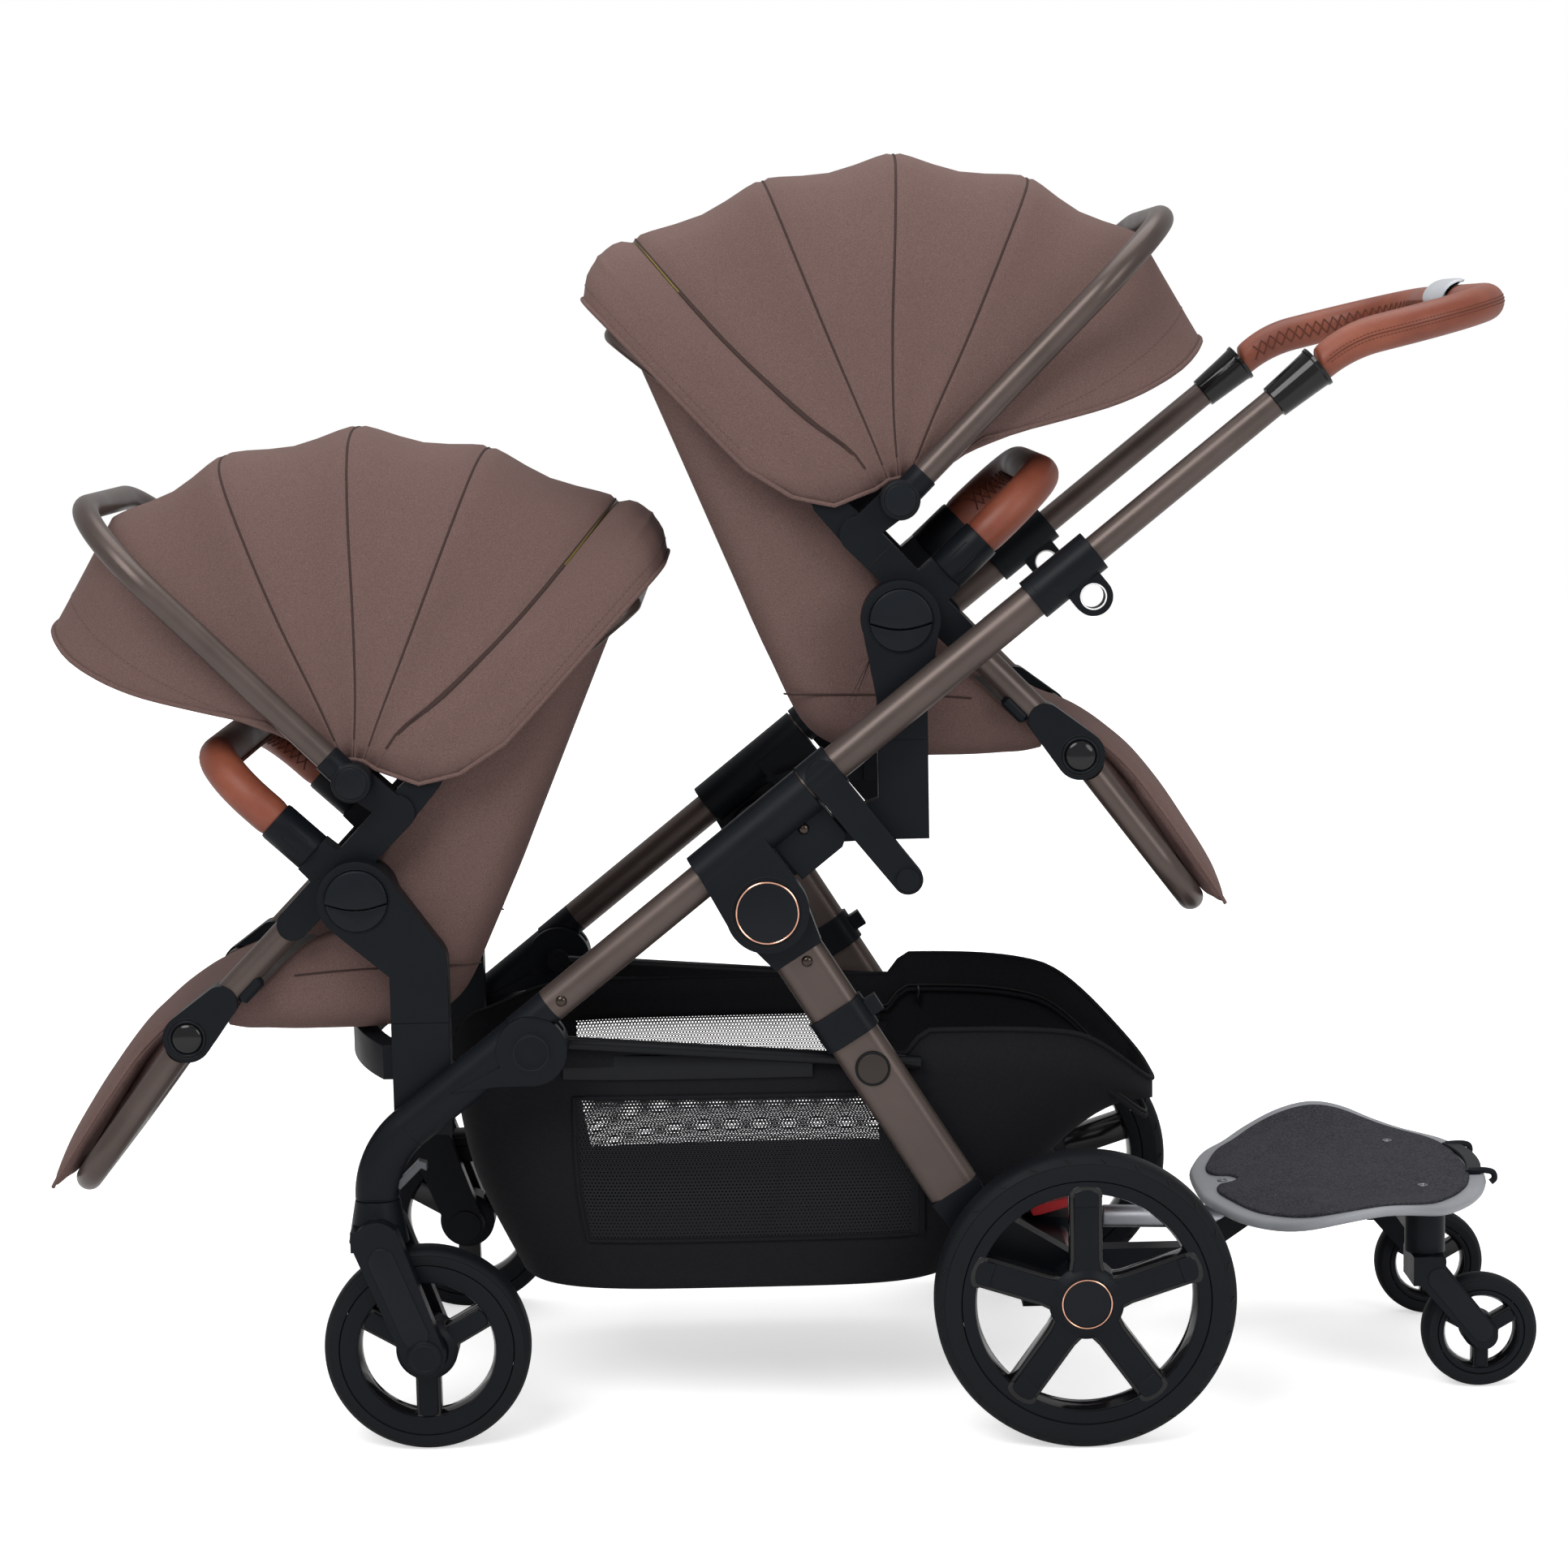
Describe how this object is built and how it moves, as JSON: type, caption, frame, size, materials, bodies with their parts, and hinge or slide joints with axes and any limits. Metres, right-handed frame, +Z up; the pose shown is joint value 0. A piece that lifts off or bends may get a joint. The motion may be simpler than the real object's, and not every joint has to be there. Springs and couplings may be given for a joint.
{
  "type": "stroller",
  "caption": "Tandem stroller with reversible hooded seats, leather handle and bumper bars, soft basket, swivel front wheels and a ride-on board on a tow arm.",
  "frame": {"origin": "middle of the footprint, on the floor", "axes": "+X to the rear (handle side), +Y to the far side, +Z up"},
  "size_m": [1.4616, 0.6, 1.244],
  "materials": {
    "bronze_tube": "satin bronze-brown paint",
    "black_plastic": "satin blue-black moulded plastic",
    "black_paint": "satin black paint",
    "steel": "plain turned steel",
    "red_plastic": "glossy red",
    "gloss_black": "satin faces with glossy inner edges",
    "tyre_rubber": "matt black foam-filled tyre",
    "grey_plastic": "satin grey",
    "tan_leather": "fine grained tan leather with sewn seams",
    "basket_cloth": "black woven cloth with mesh windows",
    "mocha_cloth": "heathered mocha-brown woven cloth",
    "deck_grey": "satin silver-grey",
    "grit_pad": "charcoal grit surface"
  },
  "bodies": {
    "chassis": {"main_tubes": "bronze_tube", "knuckles": "black_plastic", "tube_end_fittings": "black_plastic"},
    "handle": {"handle_tubes": "bronze_tube", "handle_grip": "tan_leather"},
    "handle_button": {"handle_button": "grey_plastic"},
    "fold_lever_near": {"fold_lever_near": "black_plastic"},
    "fold_lever_far": {"fold_lever_far": "black_plastic"},
    "rear_frame": {"rear_legs": "bronze_tube", "rear_leg_castings": "black_plastic", "rear_axle": "steel"},
    "brake_pedal": {"brake_pedal": "red_plastic"},
    "rear_wheel_near": {"rear_rim_near": "gloss_black", "rear_tyre_near": "tyre_rubber"},
    "rear_wheel_far": {"rear_rim_far": "gloss_black", "rear_tyre_far": "tyre_rubber"},
    "front_frame": {"front_arms": "black_plastic"},
    "swivel_lock_near": {"swivel_lock_near": "grey_plastic"},
    "front_fork_near": {"front_fork_near": "black_plastic"},
    "front_wheel_near": {"front_rim_near": "gloss_black", "front_tyre_near": "tyre_rubber"},
    "swivel_lock_far": {"swivel_lock_far": "grey_plastic"},
    "front_fork_far": {"front_fork_far": "black_plastic"},
    "front_wheel_far": {"front_rim_far": "gloss_black", "front_tyre_far": "tyre_rubber"},
    "basket_frame": {"basket_rails": "black_paint", "basket": "basket_cloth"},
    "upper_adapters": {"upper_adapters": "black_plastic"},
    "upper_seat": {"upper_seat_tubes": "bronze_tube", "upper_seat_brackets": "black_plastic", "upper_seat_shell": "mocha_cloth", "upper_canopy_cover": "mocha_cloth"},
    "upper_canopy": {"upper_canopy_bow": "bronze_tube"},
    "upper_leg_rest": {"upper_leg_rest_tube": "bronze_tube", "upper_leg_rest_pad": "mocha_cloth"},
    "upper_bumper": {"upper_bumper_bar": "tan_leather"},
    "upper_hub_button_near": {"upper_hub_button_near": "black_plastic"},
    "upper_leg_button_near": {"upper_leg_button_near": "black_plastic"},
    "upper_hub_button_far": {"upper_hub_button_far": "black_plastic"},
    "upper_leg_button_far": {"upper_leg_button_far": "black_plastic"},
    "lower_adapters": {"lower_adapters": "black_plastic"},
    "lower_seat": {"lower_seat_tubes": "bronze_tube", "lower_seat_brackets": "black_plastic", "lower_seat_shell": "mocha_cloth", "lower_canopy_cover": "mocha_cloth"},
    "lower_canopy": {"lower_canopy_bow": "bronze_tube"},
    "lower_leg_rest": {"lower_leg_rest_tube": "bronze_tube", "lower_leg_rest_pad": "mocha_cloth"},
    "lower_bumper": {"lower_bumper_bar": "tan_leather"},
    "lower_hub_button_near": {"lower_hub_button_near": "black_plastic"},
    "lower_leg_button_near": {"lower_leg_button_near": "black_plastic"},
    "lower_hub_button_far": {"lower_hub_button_far": "black_plastic"},
    "lower_leg_button_far": {"lower_leg_button_far": "black_plastic"},
    "board": {"board_deck": "deck_grey", "board_grip_pad": "grit_pad", "board_tow_arm": "black_plastic"},
    "board_fork_near": {"board_fork_near": "black_plastic"},
    "board_wheel_near": {"board_wheel_near": "tyre_rubber"},
    "board_fork_far": {"board_fork_far": "black_plastic"},
    "board_wheel_far": {"board_wheel_far": "tyre_rubber"}
  },
  "joints": [
    {"name": "handle_slide", "type": "slide", "parent": "chassis", "child": "handle", "axis": [0.7826, 0, 0.6225], "range_m": [-0.12, 0]},
    {"name": "handle_button_press", "type": "slide", "parent": "handle", "child": "handle_button", "axis": [0.6157, 0, -0.788], "range_m": [0, 0.003], "stiffness_N_per_m": 900, "springref_m": -0.002},
    {"name": "fold_lever_slide_near", "type": "slide", "parent": "chassis", "child": "fold_lever_near", "axis": [0.7826, 0, 0.6225], "range_m": [0, 0.035], "stiffness_N_per_m": 250, "springref_m": -0.012},
    {"name": "fold_lever_slide_far", "type": "slide", "parent": "chassis", "child": "fold_lever_far", "axis": [0.7826, 0, 0.6225], "range_m": [0, 0.035], "stiffness_N_per_m": 250, "springref_m": -0.012},
    {"name": "frame_fold", "type": "hinge", "parent": "chassis", "child": "rear_frame", "pos_m": [-0.038, 0, 0.524], "axis": [0, 1, 0], "range_deg": [0, 30]},
    {"name": "front_fold", "type": "hinge", "parent": "chassis", "child": "front_frame", "pos_m": [-0.266, 0, 0.39298], "axis": [0, -1, 0], "range_deg": [0, 13.5]},
    {"name": "basket_fold", "type": "hinge", "parent": "chassis", "child": "basket_frame", "pos_m": [-0.266, 0, 0.39298], "axis": [0, 1, 0], "range_deg": [0, 8.4]},
    {"name": "brake_press", "type": "hinge", "parent": "rear_frame", "child": "brake_pedal", "pos_m": [0.233, 0, 0.1653], "axis": [0, 1, 0], "range_deg": [0, 8]},
    {"name": "rear_wheel_spin_near", "type": "hinge", "parent": "rear_frame", "child": "rear_wheel_near", "pos_m": [0.259, -0.279, 0.145], "axis": [0, 1, 0], "continuous": true},
    {"name": "swivel_lock_flip_near", "type": "hinge", "parent": "front_frame", "child": "swivel_lock_near", "pos_m": [-0.3975, -0.238, 0.262], "axis": [0, 1, 0], "range_deg": [0, 25]},
    {"name": "front_swivel_near", "type": "hinge", "parent": "front_frame", "child": "front_fork_near", "pos_m": [-0.42, -0.238, 0.235], "axis": [0, 0, 1], "continuous": true},
    {"name": "front_wheel_spin_near", "type": "hinge", "parent": "front_fork_near", "child": "front_wheel_near", "pos_m": [-0.376, -0.238, 0.1], "axis": [0, 1, 0], "continuous": true},
    {"name": "rear_wheel_spin_far", "type": "hinge", "parent": "rear_frame", "child": "rear_wheel_far", "pos_m": [0.259, 0.279, 0.145], "axis": [0, 1, 0], "continuous": true},
    {"name": "swivel_lock_flip_far", "type": "hinge", "parent": "front_frame", "child": "swivel_lock_far", "pos_m": [-0.3975, 0.238, 0.262], "axis": [0, 1, 0], "range_deg": [0, 25]},
    {"name": "front_swivel_far", "type": "hinge", "parent": "front_frame", "child": "front_fork_far", "pos_m": [-0.42, 0.238, 0.235], "axis": [0, 0, 1], "continuous": true},
    {"name": "front_wheel_spin_far", "type": "hinge", "parent": "front_fork_far", "child": "front_wheel_far", "pos_m": [-0.376, 0.238, 0.1], "axis": [0, 1, 0], "continuous": true},
    {"name": "upper_seat_lift", "type": "slide", "parent": "chassis", "child": "upper_adapters", "axis": [0, 0, 1], "range_m": [0, 0.06]},
    {"name": "upper_recline", "type": "hinge", "parent": "upper_adapters", "child": "upper_seat", "pos_m": [0.095, 0, 0.795], "axis": [0, -1, 0], "range_deg": [0, 10]},
    {"name": "upper_hood_fold", "type": "hinge", "parent": "upper_seat", "child": "upper_canopy", "pos_m": [0.096, 0, 0.909], "axis": [0, -1, 0], "range_deg": [0, 60]},
    {"name": "upper_leg_rest_lift", "type": "hinge", "parent": "upper_seat", "child": "upper_leg_rest", "pos_m": [0.26724, 0, 0.65878], "axis": [0, -1, 0], "range_deg": [0, 35]},
    {"name": "upper_bumper_pull", "type": "slide", "parent": "upper_seat", "child": "upper_bumper", "axis": [0.7314, 0, 0.682], "range_m": [0, 0.03]},
    {"name": "upper_hub_button_press_near", "type": "slide", "parent": "upper_adapters", "child": "upper_hub_button_near", "axis": [0, 1, 0], "range_m": [0, 0.003], "stiffness_N_per_m": 900, "springref_m": -0.002},
    {"name": "upper_leg_button_press_near", "type": "slide", "parent": "upper_seat", "child": "upper_leg_button_near", "axis": [0, 1, 0], "range_m": [0, 0.002], "stiffness_N_per_m": 900, "springref_m": -0.002},
    {"name": "upper_hub_button_press_far", "type": "slide", "parent": "upper_adapters", "child": "upper_hub_button_far", "axis": [0, -1, 0], "range_m": [0, 0.003], "stiffness_N_per_m": 900, "springref_m": -0.002},
    {"name": "upper_leg_button_press_far", "type": "slide", "parent": "upper_seat", "child": "upper_leg_button_far", "axis": [0, -1, 0], "range_m": [0, 0.002], "stiffness_N_per_m": 900, "springref_m": -0.002},
    {"name": "lower_seat_lift", "type": "slide", "parent": "front_frame", "child": "lower_adapters", "axis": [0, 0, 1], "range_m": [0, 0.06]},
    {"name": "lower_recline", "type": "hinge", "parent": "lower_adapters", "child": "lower_seat", "pos_m": [-0.432, 0, 0.536], "axis": [0, 1, 0], "range_deg": [0, 10]},
    {"name": "lower_hood_fold", "type": "hinge", "parent": "lower_seat", "child": "lower_canopy", "pos_m": [-0.433, 0, 0.65], "axis": [0, 1, 0], "range_deg": [0, 60]},
    {"name": "lower_leg_rest_lift", "type": "hinge", "parent": "lower_seat", "child": "lower_leg_rest", "pos_m": [-0.60424, 0, 0.39978], "axis": [0, 1, 0], "range_deg": [0, 35]},
    {"name": "lower_bumper_pull", "type": "slide", "parent": "lower_seat", "child": "lower_bumper", "axis": [-0.7314, 0, 0.682], "range_m": [0, 0.03]},
    {"name": "lower_hub_button_press_near", "type": "slide", "parent": "lower_adapters", "child": "lower_hub_button_near", "axis": [0, 1, 0], "range_m": [0, 0.003], "stiffness_N_per_m": 900, "springref_m": -0.002},
    {"name": "lower_leg_button_press_near", "type": "slide", "parent": "lower_seat", "child": "lower_leg_button_near", "axis": [0, 1, 0], "range_m": [0, 0.002], "stiffness_N_per_m": 900, "springref_m": -0.002},
    {"name": "lower_hub_button_press_far", "type": "slide", "parent": "lower_adapters", "child": "lower_hub_button_far", "axis": [0, -1, 0], "range_m": [0, 0.003], "stiffness_N_per_m": 900, "springref_m": -0.002},
    {"name": "lower_leg_button_press_far", "type": "slide", "parent": "lower_seat", "child": "lower_leg_button_far", "axis": [0, -1, 0], "range_m": [0, 0.002], "stiffness_N_per_m": 900, "springref_m": -0.002},
    {"name": "board_yaw", "type": "hinge", "parent": "rear_frame", "child": "board", "pos_m": [0.263, 0, 0.12], "axis": [0, 0, 1], "range_deg": [-15, 15]},
    {"name": "board_swivel_near", "type": "hinge", "parent": "board", "child": "board_fork_near", "pos_m": [0.617, -0.125, 0.13], "axis": [0, 0, 1], "continuous": true},
    {"name": "board_wheel_spin_near", "type": "hinge", "parent": "board_fork_near", "child": "board_wheel_near", "pos_m": [0.672, -0.125, 0.058], "axis": [0, 1, 0], "continuous": true},
    {"name": "board_swivel_far", "type": "hinge", "parent": "board", "child": "board_fork_far", "pos_m": [0.617, 0.125, 0.13], "axis": [0, 0, 1], "continuous": true},
    {"name": "board_wheel_spin_far", "type": "hinge", "parent": "board_fork_far", "child": "board_wheel_far", "pos_m": [0.672, 0.125, 0.058], "axis": [0, 1, 0], "continuous": true}
  ],
  "couplings": [
    {"joint": "front_fold", "follows": "frame_fold", "ratio": 0.45},
    {"joint": "basket_fold", "follows": "frame_fold", "ratio": 0.28}
  ]
}
